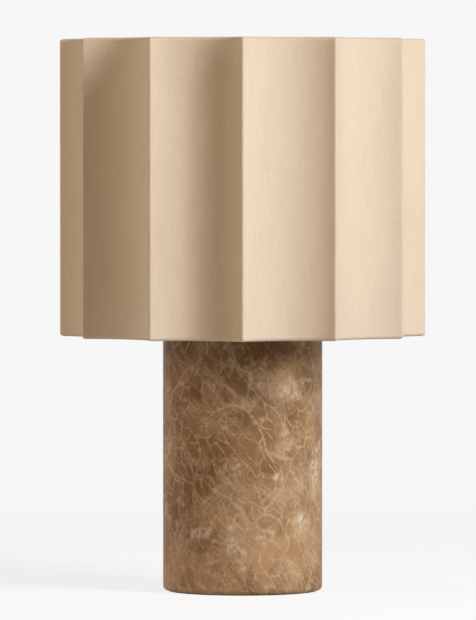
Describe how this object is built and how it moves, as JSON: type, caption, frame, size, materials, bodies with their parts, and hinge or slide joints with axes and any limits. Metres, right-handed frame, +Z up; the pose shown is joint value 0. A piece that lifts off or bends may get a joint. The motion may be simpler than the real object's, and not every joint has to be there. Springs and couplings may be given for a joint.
{
  "type": "table lamp",
  "caption": "Small table lamp: a veined stone cylinder with a screw-in lampholder and a fluted drum shade of stiffened fabric.",
  "frame": {"origin": "centre of the face that the lamp stands on, under the felt pad", "axes": "+Z up along the column, -Y is the front, +Y is the back where the cord goes in, +X is to the right seen from the front"},
  "size_m": [0.22, 0.22, 0.3325],
  "materials": {
    "marble": "satin polish, brown with pale veins",
    "linen": "plain weave, matt",
    "lining_sheet": "matt white sheet",
    "white_wire": "white powder coat",
    "felt": "dark pressed felt",
    "black_plastic": "moulded, matt",
    "white_plastic": "moulded, satin",
    "lead_sheath": "smooth flexible sheath",
    "zinc_steel": "zinc plated",
    "satin_brass": "satin",
    "porcelain": "unglazed",
    "bulb_metal": "nickel plated",
    "opal": "opal white, unlit"
  },
  "bodies": {
    "base": {"foot_pad": "felt", "bottom_cover": "black_plastic", "marble_column": "marble", "cord_gland": "black_plastic", "terminal_block": "white_plastic", "inner_lead": "lead_sheath", "clamp_plate": "zinc_steel", "rod_nut": "zinc_steel", "threaded_rod": "zinc_steel", "top_plate": "satin_brass", "holder_cup": "black_plastic", "holder_insert": "porcelain", "centre_contact": "satin_brass", "side_contacts": "satin_brass", "holder_sleeve": "black_plastic"},
    "shade_ring": {"shade_ring": "black_plastic"},
    "shade": {"shade_cover": "linen", "shade_lining": "lining_sheet", "frame_top_ring": "white_wire", "frame_bottom_ring": "white_wire", "spider": "white_wire"},
    "bulb": {"bulb_contact": "bulb_metal", "bulb_cap": "bulb_metal", "bulb_housing": "white_plastic", "bulb_envelope": "opal"}
  },
  "joints": [
    {"name": "shade_lift", "type": "slide", "parent": "base", "child": "shade_ring", "axis": [0, 0, 1], "range_m": [0, 0.16]},
    {"name": "shade_turn", "type": "hinge", "parent": "shade_ring", "child": "shade", "pos_m": [0, 0, 0.1985], "axis": [0, 0, 1], "continuous": true},
    {"name": "bulb_unscrew", "type": "slide", "parent": "base", "child": "bulb", "axis": [0, 0, 1], "range_m": [0, 0.135]}
  ]
}
